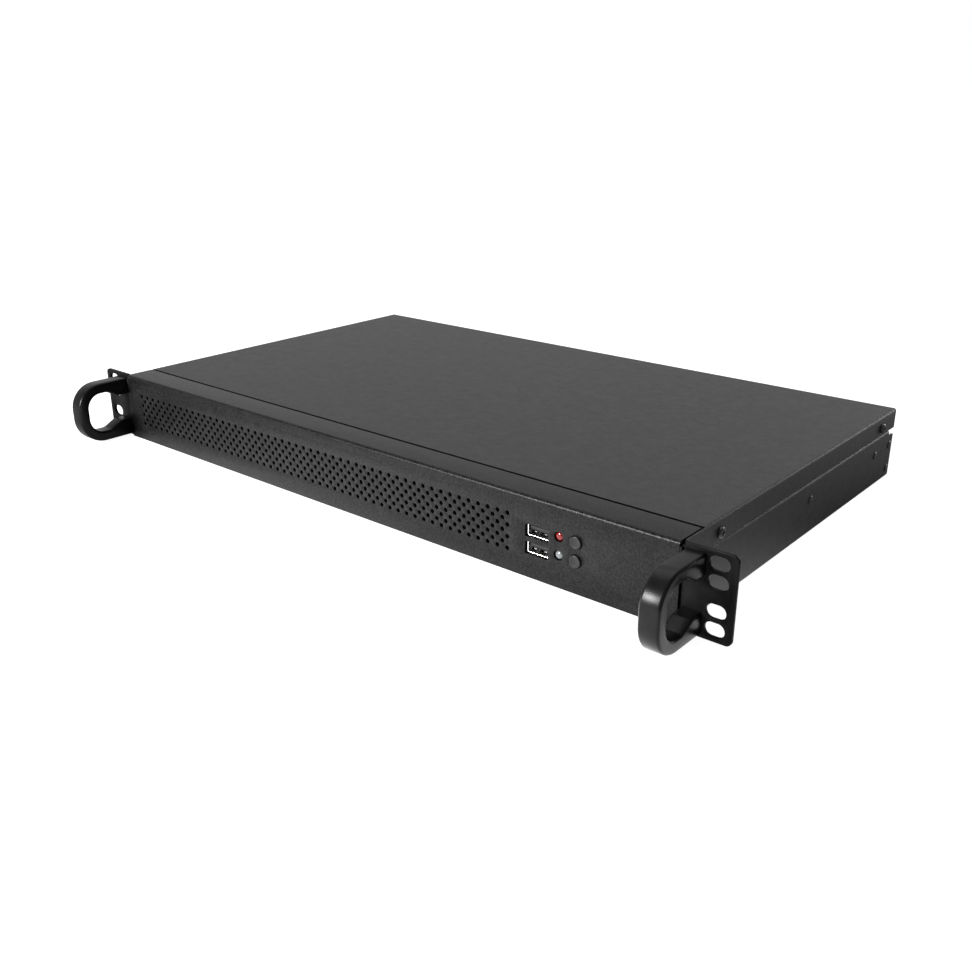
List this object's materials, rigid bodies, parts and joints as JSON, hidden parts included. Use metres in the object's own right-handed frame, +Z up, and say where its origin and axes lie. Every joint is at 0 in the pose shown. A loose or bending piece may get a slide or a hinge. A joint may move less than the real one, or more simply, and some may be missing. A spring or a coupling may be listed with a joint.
{
  "type": "1u rack server",
  "caption": "Flat one-unit rack server: charcoal sheet case, perforated front with ports, lamps and buttons, slotted ears and D-shaped pull handles.",
  "frame": {"origin": "on the floor, under the middle of the whole server, handles and ports included", "axes": "+X to the right seen from the front, +Y from the front panel to the rear, +Z up"},
  "size_m": [0.4826, 0.2942, 0.0436],
  "materials": {
    "case_paint": "fine textured powder coat",
    "ear_paint": "fine textured powder coat",
    "handle_paint": "semi-gloss",
    "black_screws": "black oxide, semi-gloss",
    "zinc": "zinc plated",
    "bare_steel": "plain zinc-coated sheet",
    "brass_posts": "plain",
    "port_shell": "tin plated",
    "port_plastic": "black",
    "circuit_board": "green solder mask",
    "chip_metal": "nickel plated",
    "sink_metal": "plain extrusion",
    "drive_metal": "satin",
    "clear_lamp": "water-clear lens",
    "red_lamp": "red lens",
    "button_plastic": "black",
    "rocker_plastic": "black",
    "fan_plastic": "black",
    "wire_red": "red sleeve",
    "wire_green": "green sleeve",
    "wire_white": "white sleeve",
    "wire_black": "black sleeve"
  },
  "bodies": {
    "chassis": {"audio_jacks": "port_plastic", "base_tray": "case_paint", "board_parts": "port_plastic", "board_posts": "brass_posts", "button_switches": "port_plastic", "card_blank": "case_paint", "case_fan_frame_left": "fan_plastic", "case_fan_frame_right": "fan_plastic", "coin_cell": "chip_metal", "cpu_fan_frame": "fan_plastic", "display_ports": "port_shell", "drive": "drive_metal", "drive_bracket": "bare_steel", "drive_lamp": "clear_lamp", "drive_lead": "wire_red", "ear_left": "ear_paint", "ear_right": "ear_paint", "fan_bracket": "bare_steel", "front_panel": "case_paint", "front_wire_green": "wire_green", "front_wire_red": "wire_red", "front_wire_white": "wire_white", "handle_left": "handle_paint", "handle_right": "handle_paint", "handle_screws": "zinc", "heat_sink": "sink_metal", "heat_sink_posts": "zinc", "inlet_pins": "brass_posts", "io_shield": "bare_steel", "lan_usb_stacks": "port_shell", "main_board": "circuit_board", "memory_module": "circuit_board", "memory_socket": "port_plastic", "port_board": "circuit_board", "port_board_posts": "brass_posts", "power_inlet": "port_plastic", "power_lamp": "red_lamp", "power_lead": "wire_black", "processor": "chip_metal", "psu_board": "circuit_board", "psu_case": "bare_steel", "psu_cover": "bare_steel", "psu_fan_frame": "fan_plastic", "rear_panel": "case_paint", "rocker_bezel": "port_plastic", "serial_port": "port_shell", "side_rivets": "black_screws", "small_screws": "zinc", "usb_lead": "wire_black", "usb_shells": "port_shell", "usb_tongues": "port_plastic"},
    "cover": {"top_cover": "case_paint", "cover_screws": "black_screws"},
    "power_button": {"power_button": "button_plastic"},
    "reset_button": {"reset_button": "button_plastic"},
    "left_case_fan": {"case_fan_rotor_left": "fan_plastic"},
    "right_case_fan": {"case_fan_rotor_right": "fan_plastic"},
    "processor_fan": {"cpu_fan_rotor": "fan_plastic"},
    "supply_fan": {"psu_fan_rotor": "fan_plastic"},
    "supply_switch": {"psu_rocker": "rocker_plastic"}
  },
  "joints": [
    {"name": "cover_lift", "type": "slide", "parent": "chassis", "child": "cover", "axis": [0, 0, 1], "range_m": [0, 0.06]},
    {"name": "power_press", "type": "slide", "parent": "chassis", "child": "power_button", "axis": [0, 1, 0], "range_m": [0, 0.001], "stiffness_N_per_m": 800, "springref_m": -0.0005},
    {"name": "reset_press", "type": "slide", "parent": "chassis", "child": "reset_button", "axis": [0, 1, 0], "range_m": [0, 0.001], "stiffness_N_per_m": 800, "springref_m": -0.0005},
    {"name": "left_case_fan_spin", "type": "hinge", "parent": "chassis", "child": "left_case_fan", "pos_m": [-0.078, -0.06765, 0.0205], "axis": [0, 1, 0], "continuous": true},
    {"name": "right_case_fan_spin", "type": "hinge", "parent": "chassis", "child": "right_case_fan", "pos_m": [-0.03, -0.06765, 0.0205], "axis": [0, 1, 0], "continuous": true},
    {"name": "processor_fan_spin", "type": "hinge", "parent": "chassis", "child": "processor_fan", "pos_m": [-0.02, 0.05035, 0.0368], "axis": [0, 0, 1], "continuous": true},
    {"name": "supply_fan_spin", "type": "hinge", "parent": "chassis", "child": "supply_fan", "pos_m": [-0.1795, 0.12935, 0.02145], "axis": [0, 1, 0], "continuous": true},
    {"name": "supply_switch_rock", "type": "hinge", "parent": "chassis", "child": "supply_switch", "pos_m": [-0.143, 0.14315, 0.0331], "axis": [0, 0, 1], "range_deg": [-18, 0]}
  ]
}
